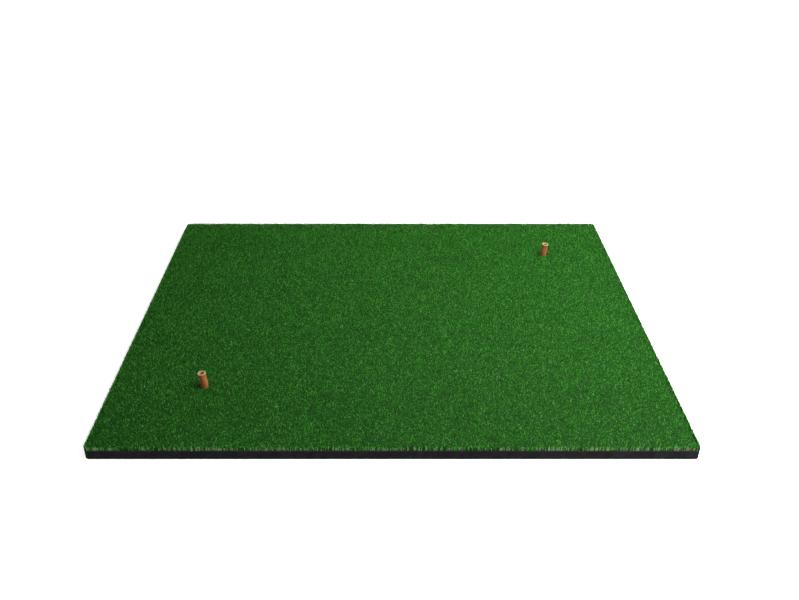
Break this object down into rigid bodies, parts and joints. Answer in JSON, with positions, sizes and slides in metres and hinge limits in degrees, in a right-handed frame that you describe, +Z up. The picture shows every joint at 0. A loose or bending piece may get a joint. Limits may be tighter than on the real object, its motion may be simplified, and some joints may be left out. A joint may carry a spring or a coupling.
{
  "type": "golf hitting mat",
  "caption": "Rectangular artificial turf mat on a foam base, with hollow rubber tees that flex, turn and pull out from below.",
  "frame": {"origin": "on the floor, under the middle of the mat", "axes": "+Z up, +X along the mat's longer side, +Y along its shorter side, away from the edge nearest the front tee"},
  "size_m": [1.5, 1.25, 0.076],
  "materials": {
    "foam": "matte",
    "backing": "matte",
    "turf": "matte",
    "tee_rubber": "matte"
  },
  "bodies": {
    "mat": {"foam_base": "foam", "turf_backing": "backing", "turf_pile": "turf"},
    "front_tee_foot": {"front_tee_flange": "tee_rubber"},
    "front_tee_sleeve": {"front_tee_shank": "tee_rubber"},
    "front_tee_top": {"front_tee_stem": "tee_rubber"},
    "rear_tee_foot": {"rear_tee_flange": "tee_rubber"},
    "rear_tee_sleeve": {"rear_tee_shank": "tee_rubber"},
    "rear_tee_top": {"rear_tee_stem": "tee_rubber"}
  },
  "joints": [
    {"name": "front_tee_pull_out", "type": "slide", "parent": "mat", "child": "front_tee_foot", "axis": [0, 0, -1], "range_m": [0, 0.082]},
    {"name": "front_tee_turn", "type": "hinge", "parent": "front_tee_foot", "child": "front_tee_sleeve", "pos_m": [-0.502, -0.37, 0], "axis": [0, 0, 1], "continuous": true},
    {"name": "front_tee_flex", "type": "hinge", "parent": "front_tee_sleeve", "child": "front_tee_top", "pos_m": [-0.502, -0.37, 0.0483], "axis": [1, 0, 0], "range_deg": [-60, 60], "stiffness_Nm_per_rad": 0.4},
    {"name": "rear_tee_pull_out", "type": "slide", "parent": "mat", "child": "rear_tee_foot", "axis": [0, 0, -1], "range_m": [0, 0.082]},
    {"name": "rear_tee_turn", "type": "hinge", "parent": "rear_tee_foot", "child": "rear_tee_sleeve", "pos_m": [0.5267, 0.3805, 0], "axis": [0, 0, 1], "continuous": true},
    {"name": "rear_tee_flex", "type": "hinge", "parent": "rear_tee_sleeve", "child": "rear_tee_top", "pos_m": [0.5267, 0.3805, 0.0483], "axis": [1, 0, 0], "range_deg": [-60, 60], "stiffness_Nm_per_rad": 0.4}
  ]
}
